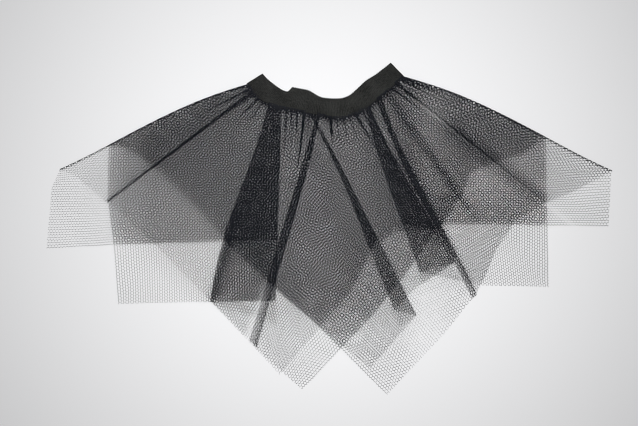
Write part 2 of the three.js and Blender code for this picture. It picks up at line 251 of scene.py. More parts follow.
def pile_over(plan, pleat):
    """Two levels times an eased fall from 1 to 0 with the distance outside the pleat."""
    outside, depth = outside_pleat(plan, pleat)
    margin = PILE_MARGIN[0] + PILE_MARGIN[1] * depth
    ramp = PILE_RAMP[0] + PILE_RAMP[1] * depth
    return PILE * eased((outside - margin) / ramp)


print("a pleat lifts the cloth over it by", PILE, "mm")

# %% The drop past the back's hem
BACK_WAIST_ENDS = (-109.0, 99.0)  # x of the two ends of the back's waist, inside the elastic's folds
BACK_TOP = (0.0, 230.0)  # a point above the waist, where the back needs no outline


def past_the_back(plan):
    """The distance outside the back's outline: 0 inside it, else that to the nearest side."""
    left_end, right_end = on_seam(np.array(BACK_WAIST_ENDS))
    left_fold_end = FAR[:1]
    corners = np.vstack([FAR[~FRONT], left_fold_end, left_end, BACK_TOP, right_end])
    inside = np.zeros(plan.shape[:-1], bool)
    nearest = np.full(plan.shape[:-1], np.inf)
    for a, b in zip(corners, np.roll(corners, -1, axis=0)):
        run, away = b - a, plan - a
        share = np.clip((away @ run) / (run @ run), 0, 1)
        nearest = np.minimum(nearest, np.linalg.norm(away - share[..., None] * run, axis=-1))
        if b[1] != a[1]:
            crosses = (a[1] > plan[..., 1]) != (b[1] > plan[..., 1])
            inside ^= crosses & (plan[..., 0] < a[0] + run[0] * (plan[..., 1] - a[1]) / run[1])
    return np.where(inside, 0, nearest)


print("past the back's hem, the front sinks over", DROP_RAMP, "mm")


# %% [markdown]
# ## Gathers
#
# The net is drawn in where it meets the elastic, so fine ridges run down from the seam and die out. Each
# has its own place, reach and height. On the crest of a ridge the threads crowd together, and a dark line
# is painted there: partly the crowded threads, partly painted shade of the gather. Evenly spaced waves
# would be shorter to write, but hand gathering never comes out even.

# %% The gathers: waist x, lean in degrees from straight down, reach, height, dark (partly painted shade)
GATHERS = np.array([
    (-106, -64, 80, 0.9, 0.10),
    (-101, -55, 60, 0.9, 0.06),
    (-95, -46, 55, 0.9, 0.10),
    (-88, -38, 45, 0.9, 0.06),
    (-57, -4, 70, 0.9, 0.10),
    (-50, -2, 60, 0.9, 0.07),
    (-43, 0, 55, 0.9, 0.07),
    (-33, -7, 90, 1.4, 0.22),
    (-26, -8, 40, 0.9, 0.05),
    (2, 4, 45, 1.2, 0.20),
    (10, 8, 40, 0.8, 0.05),
    (19, 12, 50, 0.8, 0.06),
    (27, 20, 45, 0.8, 0.05),
    (36, 30, 60, 1.2, 0.16),
    (44, 30, 45, 0.9, 0.07),
    (52, 26, 80, 1.2, 0.12),
    (84, 54, 60, 1.0, 0.10),
    (90, 50, 40, 0.9, 0.08),
    (97, 63, 50, 1.0, 0.12),
    (99, 69, 70, 1.0, 0.14),
])
RIDGE = 2.6  # how wide a ridge is
DARK_LINE = 1.1  # and the dark line on it, partly painted shade
SEAM_ENDS = (-112.0, 104.0)  # x past which a point is beside the seam


def along_gathers(plan, column, width):
    """The sum over the gathers of a bell across each line times an eased fall along it. column 0 gives
    the ridges' heights and column 1 their dark lines, which are partly painted shade."""
    total = np.zeros(plan.shape[:-1])
    for x, lean, reach, *sizes in GATHERS:
        turn = math.radians(lean)
        run = np.array([math.sin(turn), -math.cos(turn)])
        away = plan - on_seam(np.array(x))
        down = away @ run
        across = run[0] * away[..., 1] - run[1] * away[..., 0]
        total += sizes[column] * np.exp(-((across / width) ** 2)) * eased(down / reach)
    return total


def below_seam(plan):
    """How far each point lies below the seam, or beside its ends."""
    low = np.interp(plan[..., 0], SEAM[:, 0], SEAM[:, 1]) - plan[..., 1]
    return np.maximum.reduce([low, plan[..., 0] - SEAM_ENDS[1], SEAM_ENDS[0] - plan[..., 0]])


print(len(GATHERS), "gathers, the highest", GATHERS[:, 3].max(), "mm")


# %% [markdown]
# ## How wide the threads are made, and the painted shade
#
# The net is one even fabric, yet it doesn't look even when it is laid out. Where both nets lie together
# the layers shade each other, and that shade is painted by wider threads. A short table makes some places
# darker and some lighter. At the seam the threads crowd. Along a gather the threads crowd, and a fold is
# seen edge on, and both show as a dark line that is partly painted shade. Beside some folds a soft shade
# is painted, and a few entries with a minus make a fold lighter. Darker colour would hide the holes, so
# the threads are made wider instead, and thinner where it is lighter. One number at each point of the
# grid says by how much on each side, as a share of the step between holes.

# %% Painted soft shades beside folds: the line, from and to as shares of it, width, and how much wider the threads are made, with a minus thinner so the fold shows lighter
SHADES = [
    ("wide_pleat_edge", 0.62, 1.0, 12.0, 0.035),
    ("side_pleat_edge", 0.40, 0.92, 20.0, 0.025),
    ("back_pleat_edge", 0.35, 0.80, 20.0, 0.02),
    ("tail_tuck_edge", 0.40, 0.74, 9.0, 0.025),
    ("tail_tuck_edge", 0.84, 1.2, 7.0, -0.03),
    ("front_tuck_edge", 0.82, 1.2, 12.0, -0.03),
    ("side_pleat_edge", 0.22, 1.2, 4.0, -0.035),
    ("right_drape", 0.08, 0.72, 9.0, 0.03),
]
SHADE_ENDS = 0.12  # a shade begins and ends over this share of its line

# %% Where the net is made darker or lighter: how much, then a ramp in x and one in y
# A ramp is where it starts and how far it takes to grow in full. With a minus it grows to the left or down.
ANYWHERE = (-1000.0, 1.0)  # a ramp that ends before the cloth begins
LIGHTER_OR_DARKER = [
    (-0.012, ANYWHERE, (-90.0, -60.0)),
    (0.008, (140.0, 40.0), ANYWHERE),
    (-0.013, (100.0, 40.0), (20.0, 40.0)),
    (-0.009, (-235.0, -25.0), (-45.0, 30.0)),
    (-0.012, (-272.0, -14.0), (-45.0, 30.0)),
    (-0.017, (90.0, 40.0), (-60.0, -30.0)),
]
print(len(SHADES), "soft shades and", len(LIGHTER_OR_DARKER), "loose or close places")

# %% The steps at the hems, the pleats, the seam and the folds
LAYER_SHADE, LAYER_SHADE_SIDES = 0.022, 0.009  # painted shade where both nets lie, for the shadows the layers cast on each other, and more so at the sides
SIDES_FROM = 180.0  # each way from the middle
HEM_STEP = 5.0  # the two nets part over this much before the shorter one's hem
PLEAT_STEP = 6.0  # and over this much beside a pleat
AT_SEAM, AT_SEAM_REACH = 0.05, 7.0  # closer at the seam, and how far down
UNDER_SEAM, UNDER_SEAM_REACH = -0.003, 130.0  # a little looser further down, and how far
FOLD_LINE = 1.2  # how wide a fold's dark line is
MOST = 0.4  # at this share the holes are all but closed
print("a thread is", round(THREAD / HOLE_STEP, 3), "of a step wide, and grows by up to", MOST, "each side")


# %% The sum of them all
def shading(plan, name, start, end, width, strength):
    """A painted soft shade along one line: strength, eased to 0 across the line and past both its ends."""
    line = NAMES.index(name)
    run = FAR[line] - WAIST[line]
    away = plan - WAIST[line]
    off = np.abs(run[0] * away[..., 1] - run[1] * away[..., 0]) / np.hypot(*run)
    part = (away @ run) / (run @ run)
    ends = eased((start - part) / SHADE_ENDS) * eased((part - end) / SHADE_ENDS)
    return strength * eased(off / width) * ends


def grown(values, ramp):
    """An eased rise from 0 to 1 that starts at ramp's first number and takes its second one."""
    return 1 - eased((values - ramp[0]) / ramp[1])


def crowding_and_painted_shade(plan, share):
    """How much wider the threads are made: the sum of an eased step up inside the shorter net's hem (kept
    up beside each pleat), which is painted shade of the layers on each other, the steps at the seam, the
    table of lighter and darker places, the folds' and the gathers' dark lines, partly painted shade, and
    the painted soft shades."""
    x, y, low = plan[..., 0], plan[..., 1], below_seam(plan)
    length = np.linalg.norm(C_FAR - C_WAIST, axis=1)[:, None]
    shorter = np.minimum(C_OUTER, C_INNER)[:, None]
    both = 1 - eased(length * (shorter - share) / HEM_STEP)
    for pleat in PLEATS:
        own = C_AFTER[:, 1:2] == float(pleat["front"])
        both = np.maximum(both, own * eased(outside_pleat(plan, pleat)[0] / PLEAT_STEP))
    # painted shade where both nets lie, for the shadows the layers cast on each other
    crowd_and_painted_shade = both * (LAYER_SHADE + LAYER_SHADE_SIDES * (1 - eased(np.abs(x) / SIDES_FROM)))
    crowd_and_painted_shade += AT_SEAM * eased(low / AT_SEAM_REACH) + UNDER_SEAM * eased(low / UNDER_SEAM_REACH)
    # some places made darker and some lighter, from the table
    crowd_and_painted_shade += sum(amount * grown(x, in_x) * grown(y, in_y) for amount, in_x, in_y in LIGHTER_OR_DARKER)
    beside = C_BESIDE_WAIST[:, None] + (C_BESIDE_FAR - C_BESIDE_WAIST)[:, None] * share
    # the folds' dark lines: partly threads seen edge on, partly painted shade in the crease
    crowd_and_painted_shade += C_DARK[:, None] * np.exp(-((np.maximum(beside, 0) / FOLD_LINE) ** 2))
    # the gathers' dark lines: partly crowded threads, partly painted shade
    crowd_and_painted_shade += along_gathers(plan, 1, DARK_LINE)
    # the painted soft shades beside folds, and a few that make a fold lighter
    crowd_and_painted_shade += sum(shading(plan, *row) for row in SHADES)
    return np.minimum(crowd_and_painted_shade, MOST)


# %% [markdown]
# ## The cloth as a grid
#
# Columns run down the cloth and are set close enough for smooth folds. A turn is a fan of columns on one
# line, swung through half a circle from the lower layer to the upper one. Folding could also be modelled
# by bending a flat sheet step by step, but a grid that knows its layers can't cut through itself, and
# numpy works the whole of it out at once.


# %% What lies under each strip, and how dark its folds are
def strip_state(i):
    """What the strip after line i lies on: its level, 1 on the front, and 1 for each pleat under it."""
    front = bool(FRONT[i])
    inside = any(p["front"] == front and p["last"] - 1 == i for p in PLEATS)
    lifted = [float((p["front"] == front and p["last"] <= i) or (front and not p["front"])) for p in PLEATS]
    return [LEVEL * front + LEVEL * inside, float(front), *lifted]


def fold_dark(i):
    """How much darker the fold on line i is made from above: partly its threads edge on, partly painted
    shade.
    """
    return FOLD_DARK.get(NAMES[i], PLEAT_DARK) if FOLD[i] else 0.0


print("the front's first strip lies on", strip_state(0)[2:].count(1.0), "pleats")

# %% Columns round the skirt
NO_FOLD = 9.0  # stands for a fold so far away that it has no dark line here


def hem_share(waist, far, hem_a, hem_b):
    """Where the run from waist to far meets the straight hem from hem_a to hem_b, as a share of it."""
    run, hem = far - waist, hem_b - hem_a
    away = hem_a - waist
    return (away[:, 0] * hem[1] - away[:, 1] * hem[0]) / (run[:, 0] * hem[1] - run[:, 1] * hem[0])


def make_columns():
    """The columns as arrays: waist, far, both bows, the two hems' shares, side, turn angle, the states
    below and above the turn, the distance beside the nearest fold at the waist and at the far end, and
    how dark that fold is."""
    parts = []
    count = len(LINES)
    for i in range(count):
        j = (i + 1) % count
        before, after = strip_state((i - 1) % count), strip_state(i)
        if FOLD[i]:
            angle = np.linspace(0, math.pi, TURN_STEPS)
            still = np.ones((TURN_STEPS, 1))
            one = still[:, 0]
            parts.append([
                still * WAIST[i], still * FAR[i], still * BOW[i], one * OUTER[i], one * INNER[i],
                FOLD[i] * TURN * np.sin(angle), angle, still * before, still * after,
                0 * one, 0 * one, one * fold_dark(i),
            ])
        steps_at_waist = math.ceil(np.hypot(*(WAIST[j] - WAIST[i])) / STRIP_AT_WAIST)
        steps_at_hem = math.ceil(np.hypot(*(FAR[j] - FAR[i])) / STRIP_AT_HEM)
        steps = max(2, steps_at_waist, steps_at_hem)
        share = np.arange(1 if FOLD[i] else 0, steps)[:, None] / steps
        waist = on_seam((WAIST_X[i] + share * (WAIST_X[j] - WAIST_X[i]))[:, 0])
        far = FAR[i] + share * (FAR[j] - FAR[i])
        hems = []
        for reach in (OUTER, INNER):
            ends = [WAIST[k] + reach[k] * (FAR[k] - WAIST[k]) for k in (i, j)]
            hems.append(hem_share(waist, far, *ends))
        bow = BOW[i] + share * (BOW[j] - BOW[i])
        still = np.ones_like(share)
        none = 0 * share[:, 0]
        by_first = (share[:, 0] < 0.5) & bool(FOLD[i])
        from_next = 1 - share[:, 0] if FOLD[j] else none + NO_FOLD
        from_fold = np.where(by_first, share[:, 0], from_next)
        beside = [np.hypot(*(ends[j] - ends[i])) * from_fold for ends in (WAIST, FAR)]
        dark = np.where(by_first, fold_dark(i), fold_dark(j))
        parts.append([waist, far, bow, *hems, none, none, still * after, still * after, *beside, dark])
    return [np.concatenate(column) for column in zip(*parts)]


(
    C_WAIST, C_FAR, C_BOW, C_OUTER, C_INNER, C_SIDE, C_TURN, C_BEFORE, C_AFTER, C_BESIDE_WAIST,
    C_BESIDE_FAR, C_DARK,
) = make_columns()
print(len(C_BOW), "columns")


# %% The surface midway between the nets
BOW_PEAK = 6.75  # makes s (1 - s)^2 and s^2 (1 - s) peak at 1


def midway(share):
    """Points at each share s down each column. The plan point is on the line, swelled sideways by
    6.75 s (1 - s) (high (1 - s) + low s), and its height is that of what lies under it. In a turn the
    height swings from one layer to the next by half of 1 - cos."""
    run = C_FAR - C_WAIST
    across = unit(np.stack([-run[:, 1], run[:, 0]], axis=1))[:, None]
    s = share[..., None]
    swell = BOW_PEAK * s * (1 - s) * (C_BOW[:, None, :1] * (1 - s) + C_BOW[:, None, 1:] * s)
    plan = C_WAIST[:, None] + run[:, None] * s + across * swell
    piles = np.stack([pile_over(plan, pleat) for pleat in PLEATS], axis=-1)
    drop = LEVEL * (1 - eased(past_the_back(plan) / DROP_RAMP))
    from_hem = np.linalg.norm(run, axis=1)[:, None] * (1 - share)
    billow = BILLOW * (1 - eased((from_hem - BILLOW_FROM) / BILLOW_OVER))
    lift = billow + along_gathers(plan, 0, RIDGE) + SEAM_LIFT * eased(below_seam(plan) / SEAM_LIFT_LENGTH)

    def height(state):
        """The level, less the drop past the back on the front, plus the piles under it."""
        return state[:, :1] - state[:, 1:2] * drop + np.einsum("ckp,cp->ck", piles, state[:, 2:])

    low, high = height(C_BEFORE), height(C_AFTER)
    swing = (1 - np.cos(C_TURN))[:, None] / 2
    z = BED + lift + low + (high - low) * swing
    return np.concatenate([plan + across * C_SIDE[:, None, None], z[..., None]], axis=-1)


# %% [markdown]
# ## Meshes from grids
#
# A ring of columns becomes a mesh with foreach_set, which hands Blender a whole array at once and is far
# quicker than adding points one by one. The faces of the grid are index arithmetic, and each corner's
# place in the flat cut goes into a UV map, so that the net's holes follow the cloth.


# %% From a grid to an object
def ring_normals(grid):
    """Unit normals of a closed ring of columns, pointing out of the tube."""
    step = unit(np.roll(grid, -1, axis=0) - grid)
    along = unit(step + np.roll(step, 1, axis=0))
    down = np.gradient(grid, axis=1)
    return unit(np.cross(down, along))


def ring_faces(columns, rows, start=0):
    """The quads of a closed ring of columns, each column rows long."""
    i, k = np.meshgrid(np.arange(columns), np.arange(rows - 1), indexing="ij")
    here, next_one = i * rows + k, (i + 1) % columns * rows + k
    return start + np.stack([here, here + 1, next_one + 1, next_one], axis=-1).reshape(-1, 4)


def mesh_object(name, points, faces, maps=(), marks=()):
    """An object at the origin from points in millimetres, with UV maps and point attributes."""
    mesh = bpy.data.meshes.new(name)
    mesh.vertices.add(len(points))
    mesh.loops.add(faces.size)
    mesh.polygons.add(len(faces))
    mesh.vertices.foreach_set("co", (points * MM).astype(np.float32).ravel())
    mesh.loops.foreach_set("vertex_index", faces.astype(np.int32).ravel())
    mesh.polygons.foreach_set("loop_start", np.arange(0, faces.size, 4, dtype=np.int32))
    mesh.polygons.foreach_set("loop_total", np.full(len(faces), 4, np.int32))
    for title, corners in maps:
        layer = mesh.uv_layers.new(name=title)
        layer.uv.foreach_set("vector", corners.astype(np.float32).ravel())
    for title, values in marks:
        mesh.attributes.new(title, "FLOAT", "POINT").data.foreach_set("value", values.astype(np.float32))
    mesh.update()
    mesh.validate()
    mesh.polygons.foreach_set("use_smooth", np.ones(len(mesh.polygons), bool))
    obj = bpy.data.objects.new(name, mesh)
    bpy.context.collection.objects.link(obj)
    print(name, len(points), "points,", 2 * len(faces), "triangles")
    return obj


# %% [markdown]
# ## Where each point is in the flat cut
#
# The hem of a net is the edge of its rectangle. Its length from corner to corner along the folded hem,
# shared out along the rectangle's side, says which point of the edge each column ends at. The column
# itself is a straight line in the cut, from the hole's rim to that point. Blender can also unwrap a mesh
# by itself, but only this map has the true size and grain of the cut.

# %% The flat cut of a net
CORNERS = {
    "outer": ("left_corner_outer", "front_point_outer", "right_corner_outer", "back_point_outer"),
    "inner": ("left_corner_inner", "front_point_inner", "right_corner_inner", "back_point_inner"),
}
HALF_SIZES = {"outer": (NET_LONG / 2, NET_SHORT / 2), "inner": (NET_SHORT / 2, NET_LONG / 2)}


def column_of(name):
    """The first column on a named line."""
    line = NAMES.index(name)
    off = np.linalg.norm(C_WAIST - WAIST[line], axis=1) + np.linalg.norm(C_FAR - FAR[line], axis=1)
    return int(np.argmin(off))


def cut_points(grid, share, hem, net):
    """The place of each grid point in the flat cut, in millimetres from the middle of the hole."""
    half = np.array(HALF_SIZES[net])
    square = half * np.array([(-1, -1), (1, -1), (1, 1), (-1, 1), (-1, -1)])
    turns = np.unwrap(np.arctan2(square[:, 1], square[:, 0]))
    corners = [column_of(name) for name in CORNERS[net]]

    def place(row, values):
        """Values at the corners, shared out along a row of the grid by its folded length."""
        steps = np.linalg.norm(np.roll(grid[:, row], -1, axis=0) - grid[:, row], axis=1)
        along = np.concatenate([[0], np.cumsum(steps)])
        at = np.array([along[c] for c in corners] + [along[corners[0]] + along[-1]])
        return np.interp((along[:-1] - at[0]) % along[-1] + at[0], at, values)

    edge = np.stack([place(-1, square[:, k]) for k in (0, 1)], axis=-1)[:, None]
    turn = place(0, turns)
    rim = HOLE_RADIUS * np.stack([np.cos(turn), np.sin(turn)], axis=-1)[:, None]
    return rim + (edge - rim) * (share / hem[:, None])[..., None]


def corner_maps(points, faces):
    """The place in a map of each corner of each face, from the places of the points."""
    return points.reshape(-1, 2)[faces.ravel()]


print("a net's cut is", NET_LONG, "x", NET_SHORT, "mm")


# %% [markdown]
# ## The two nets
#
# Each is one thin surface close beside the midway one. The outer net is on the outside of the tube, so it
# is above on the front and below on the back. Net is too thin for a wall of its own to show. A second map
# fits the whole cut on one page, for pictures that are baked from its finish.


# %% Make a net
PAGE_HALF = 0.49  # half the cut, as a share of the page's side


def make_net(name, net, offset):
    """A net's surface: the midway surface moved along its normals, from under the elastic to the hem."""
    hem = {"outer": C_OUTER, "inner": C_INNER}[net]
    length = np.linalg.norm(C_FAR - C_WAIST, axis=1)
    start = -TUCKED / length
    share = start[:, None] + (hem - start)[:, None] * np.linspace(0, 1, NET_ROWS)
    middle = midway(share)
    grid = middle + ring_normals(middle) * offset
    faces = ring_faces(*grid.shape[:2])
    cut = cut_points(middle, share, hem, net)
    half = np.array(HALF_SIZES[net])
    flat = corner_maps(cut * MM, faces)
    page = corner_maps(0.5 + PAGE_HALF * cut / half, faces)
    # how much wider each thread is made, with the painted shade in it
    crowd_and_painted_shade = crowding_and_painted_shade(middle[..., :2], share).ravel()
    maps = [("cut", flat), ("OFBake", page)]
    return mesh_object(name, grid.reshape(-1, 3), faces, maps, [("crowd_and_painted_shade", crowd_and_painted_shade)])


outer_net = make_net("outer_net", "outer", NET_OFFSET)
inner_net = make_net("inner_net", "inner", -NET_OFFSET)


# %% [markdown]
# ## The elastic
#
# A loop of ribbed elastic, pressed flat. Its lower edge rides over the gathered net, its upper edge lies
# down, and the back of the loop shows a little above the front at the left of the middle. It is one
# closed wall round the loop: two skins, and a strip of faces that joins them along each edge.


# %% How the elastic lies, in millimetres
ACROSS = 30  # points across it
STEP_ALONG = 0.9  # from one row of them to the next
SOFTEN = 5  # how many steps each way a corner of the table is rounded over
PICOT, PICOT_STEP = 0.4, 2.8  # the small loops along both edges, twice as high on the back
PEEK_RAMPS = (3.0, 26.0)  # the back's edge comes up over this much, and goes down again over this much
DIP_RAMPS = (14.0, 10.0)  # the front's edge goes down over this much, and comes up over this much
ON_NET = 2.2  # from the net below to the middle of the front run's lower edge
LYING = 0.75  # the height of an edge that lies down
CROWN = 2.6  # the height of the front's upper edge, which lies on the back's
SAG = 1.6  # the power by which a run sinks from its lower edge to its upper one
LOOP_TURN = 1.6  # how far the loop's ends bulge
print("the front's upper edge is", round(CROWN - LYING, 2), "mm above the back's")


# %% The loop's middle surface
def elastic_run(front):
    """The middle surface of one run of the elastic: straight cuts across it, carried along the table by
    its length and rounded a little, with the back one moved up where it shows."""
    middle = (ELASTIC_EDGES[:, :2] + ELASTIC_EDGES[:, 2:]) / 2
    knots = np.concatenate([[0], np.cumsum(np.linalg.norm(np.diff(middle, axis=0), axis=1))])
    at = np.linspace(0, knots[-1], int(knots[-1] / STEP_ALONG))
    edges = np.stack([np.interp(at, knots, ELASTIC_EDGES[:, k]) for k in range(4)], axis=1)
    padded = np.pad(edges, ((SOFTEN, SOFTEN), (0, 0)), mode="reflect", reflect_type="odd")
    even = np.ones(2 * SOFTEN + 1) / (2 * SOFTEN + 1)
    edges = np.stack([np.convolve(padded[:, k], even, "valid") for k in range(4)], axis=1)
    low, high = edges[:, :2], edges[:, 2:]
    up = unit(high - low)
    x = high[:, 0]
    if front:
        dip = eased((DIP["from"] - x) / DIP_RAMPS[0]) * eased((x - DIP["to"]) / DIP_RAMPS[1])
        high = high - (dip * DIP["by"])[:, None] * up
    else:
        rise = eased((PEEK["from"] + PEEK_RAMPS[0] - x) / PEEK_RAMPS[0])
        rise = rise * eased((x - PEEK["to"] + PEEK_RAMPS[1]) / PEEK_RAMPS[1])
        high = high + (rise * PEEK["by"])[:, None] * up
    picot = PICOT if front else 2 * PICOT
    loops = (picot * np.sin(at * 2 * math.pi / PICOT_STEP))[:, None] * up
    low, high = low - loops, high + loops
    share = (1 - np.cos(np.linspace(0, math.pi, ACROSS)))[:, None] / 2
    plan = high[:, None] + (low - high)[:, None] * share
    front_piles = sum(pile_over(low, p) for p in PLEATS if p["front"])
    back_piles = sum(pile_over(low, p) for p in PLEATS if not p["front"])
    under = back_piles + front_piles / 2 + along_gathers(low, 0, RIDGE)
    foot = BED + SEAM_LIFT + LEVEL + under + ON_NET if front else LYING + back_piles / 2
    crown = np.full(len(at), CROWN if front else LYING)
    z = crown[:, None] + (foot - crown)[:, None] * share[:, 0] ** SAG
    return np.concatenate([plan, z[..., None]], axis=-1)


def elastic_turn(start, end, steps=7):
    """A half turn from one end cut to the other: out along the cut's normal, and down by a cosine."""
    angle = np.linspace(0, math.pi, steps + 2)[1:-1, None, None]
    cut = unit(start[-1, :2] - start[0, :2])
    out = np.array([cut[1], -cut[0]]) * (-1 if start[0, 0] < 0 else 1)
    bulge = np.concatenate([out, [0]]) * LOOP_TURN * np.sin(angle)
    return start + (end - start) * (1 - np.cos(angle)) / 2 + bulge


front_run, back_run = elastic_run(True), elastic_run(False)[::-1]
loop = np.concatenate([
    front_run,
    elastic_turn(front_run[-1], back_run[0]),
    back_run,
    elastic_turn(back_run[-1], front_run[0]),
])
columns, rows = loop.shape[:2]
print("the loop has", columns, "rows of", rows, "points")

# %% Make the elastic
elastic_normals = ring_normals(loop)
EDGE_THIN, EDGE_POWER = 0.35, 8  # the wall thins to this share at its edges, and how suddenly
height_share = np.cos(np.linspace(0, math.pi, rows))[:, None]
half_wall = ELASTIC_THICK / 2 * (EDGE_THIN + (1 - EDGE_THIN) * (1 - height_share**EDGE_POWER))
skins = [loop + elastic_normals * half_wall, loop - elastic_normals * half_wall]
outer_faces = ring_faces(columns, rows)
inner_faces = ring_faces(columns, rows, columns * rows)[:, ::-1]
ring = np.arange(columns)
after = (ring + 1) % columns


def rim_faces(row, flip):
    """The quads that close the wall along one edge of the loop."""
    here, next_one, size = ring * rows + row, after * rows + row, columns * rows
    quads = np.stack([here, next_one, size + next_one, size + here], axis=1)
    return quads[:, ::-1] if flip else quads


elastic_faces = np.concatenate([outer_faces, inner_faces, rim_faces(0, False), rim_faces(rows - 1, True)])
loop_steps = np.linalg.norm(np.diff(loop[:, rows // 2], axis=0), axis=1)
run_length = np.concatenate([[0], np.cumsum(loop_steps)])
strip = np.stack(np.meshgrid(run_length, np.linspace(ELASTIC_WIDTH, 0, rows), indexing="ij"), axis=-1)
strip_map = corner_maps(np.tile(strip.reshape(-1, 2) * MM, (2, 1)), elastic_faces)
elastic_points = np.concatenate(skins).reshape(-1, 3)
elastic = mesh_object("elastic", elastic_points, elastic_faces, [("strip", strip_map)])

# %% [markdown]
# ## Shader maths as Python
#
# Patterns on cloth are formulas, and a formula made of Math nodes by hand is hard to read. A small class
# wraps an output socket, so that an expression adds its Math nodes, and one method makes every other
# node.


# %% Sockets that can be added and multiplied
class Number:
    """A number that changes over a surface, with Python's arithmetic."""

    def __init__(self, finish, socket):
        self.finish, self.socket = finish, socket

    def _math(self, operation, *values):
        return self.finish.node("ShaderNodeMath", {"operation": operation}, dict(enumerate(values)))

    def __add__(self, other):
        return self._math("ADD", self, other)

    def __sub__(self, other):
        return self._math("SUBTRACT", self, other)

    def __mul__(self, other):
        return self._math("MULTIPLY", self, other)

    def __truediv__(self, other):
        return self._math("DIVIDE", self, other)

    def __rsub__(self, other):
        return self._math("SUBTRACT", other, self)

    __radd__ = __add__
    __rmul__ = __mul__

    def __gt__(self, other):
        return self._math("GREATER_THAN", self, other)

    def cos(self):
        return self._math("COSINE", self)

    def wrapped(self, length):
        """The distance from the middle of its own repeat."""
        return (self._math("FLOORED_MODULO", self, length) - length / 2).size()

    def size(self):
        return self._math("ABSOLUTE", self)

    def least(self, other):
        return self._math("MINIMUM", self, other)

    def most(self, other):
        return self._math("MAXIMUM", self, other)


# %% A material that makes its own nodes
class Finish:
    """A material and the one method that makes its nodes."""

    def __init__(self, name):
        self.material = bpy.data.materials.new(name)
        self.material.use_nodes = True
        self.tree = self.material.node_tree
        self.tree.nodes.clear()

    def node(self, kind, settings=None, inputs=None, out=0):
        """A new node with its settings and inputs, and one of its outputs as a Number."""
        made = self.tree.nodes.new(kind)
        for key, value in (settings or {}).items():
            setattr(made, key, value)
        for key, value in (inputs or {}).items():
            if isinstance(value, Number):
                self.tree.links.new(value.socket, made.inputs[key])
            else:
                made.inputs[key].default_value = value
        return Number(self, made.outputs[out]) if len(made.outputs) else made

    def plan(self, uv_map):
        """A UV map's place, and its two coordinates as numbers in metres."""
        place = self.node("ShaderNodeUVMap", {"uv_map": uv_map})
        parts = [self.node("ShaderNodeSeparateXYZ", {}, {"Vector": place}, out=k) for k in (0, 1)]
        return place, *parts

    def mix(self, share, a, b):
        """A colour between a and b. The node has sockets for each kind, and 6, 7 and 2 are colours."""
        return self.node("ShaderNodeMix", {"data_type": "RGBA"}, {0: share, 6: a, 7: b}, out=2)

    def surface(self, **sockets):
        """The finished material, from its shader's sockets."""
        named = {key.replace("_", " "): value for key, value in sockets.items()}
        shader = self.node("ShaderNodeBsdfPrincipled", {}, named)
        self.node("ShaderNodeOutputMaterial", {}, {"Surface": shader})
        print(self.material.name, "has", len(self.tree.nodes), "nodes")
        return self.material


# %% [markdown]
# ## The net's finish
#
# The net is knitted with six-sided holes. Each net has about 25,000 of them, too many to model thread by
# thread, and a picture of net would blur. So the holes are a formula on a thin sheet, and Alpha is 1 on
# the thread and 0 in a hole. The distance from the middle of the nearest hole, measured square to the
# hole's sides, is half a step on the thread between two holes, so the thread is where it nears one half.
# It is read in the flat cut, so the holes follow each net's own grain, and layers over each other give
# the shimmering bands that real net gives. Rows of holes run along the cut's long side, a quarter turn
# apart on the two nets.

# %% Net finish
BLACK = (0.004, 0.0045, 0.006, 1)
WORN_BLACK = (0.014, 0.0155, 0.021, 1)
CROSS_THREAD = 0.955  # under 1, the threads across the rows are thinner than the others
SWAY = 0.004  # metres that the rows wander
FUZZ = 0.3  # how unevenly thick the thread is
BUMP_HEIGHT = 0.0003  # metres, of a bump in a finish


def hole_distance(x, y):
    """The less of max(c |x|, |x|/2 + |y| sqrt(3)/2) over the two rectangular lattices that make up the
    net, with c for CROSS_THREAD."""
    tall = math.sqrt(3)
    near = []
    for shift in (0, 0.5):
        across, up = (x + shift).wrapped(1), (y + shift * tall).wrapped(tall)
        near.append((across * CROSS_THREAD).most(across * 0.5 + up * (tall / 2)))
    return near[0].least(near[1])


def net_finish(name, turned):
    """A net's material: black thread by hole_distance, wider where the cloth is crowded and where shade is
    painted, and thinner where it is made lighter.
    """
    f = Finish(name)
    place, x, y = f.plan("cut")
    x, y = (y, x) if turned else (x, y)
    # the threads' widening from the grid, which carries painted shade as well as crowding
    crowd_and_painted_shade = f.node("ShaderNodeAttribute", {"attribute_name": "crowd_and_painted_shade"}, out=2)
    pull = f.node("ShaderNodeTexNoise", {}, {"Vector": place, "Scale": 14.0, "Detail": 1.0}, out=1)
    drift = [f.node("ShaderNodeSeparateXYZ", {}, {"Vector": pull}, out=k) - 0.5 for k in (0, 1)]
    scale = 1 / (HOLE_STEP * MM)
    depth = hole_distance((x + drift[0] * SWAY) * scale, (y + drift[1] * SWAY) * scale)
    fuzz = f.node("ShaderNodeTexNoise", {}, {"Vector": place, "Scale": 800.0, "Detail": 0.0})
    half = THREAD / HOLE_STEP / 2
    thread = depth > 0.5 - half * (1 - FUZZ / 2 + fuzz * FUZZ) - crowd_and_painted_shade
    shade = f.mix(fuzz, BLACK, WORN_BLACK)
    bump = f.node("ShaderNodeBump", {}, {"Strength": 0.5, "Distance": BUMP_HEIGHT, "Height": depth})
    return f.surface(Base_Color=shade, Roughness=0.7, Specular_IOR_Level=0.1, Alpha=thread, Normal=bump)


outer_net.data.materials.append(net_finish("outer_net_finish", turned=False))
inner_net.data.materials.append(net_finish("inner_net_finish", turned=True))

# %% [markdown]
# ## The elastic's finish
#
# Covered rubber cores lie side by side across the elastic's width, so fine ribs run along it, and the
# weft that binds them makes a shallow cord across. A zigzag seam holds the net near the lower edge. All
# of it is under a millimetre high, so it is a bump in the light and not in the mesh. Lint and wear make
# most of its tone, and the ribs and cords only just show in it.


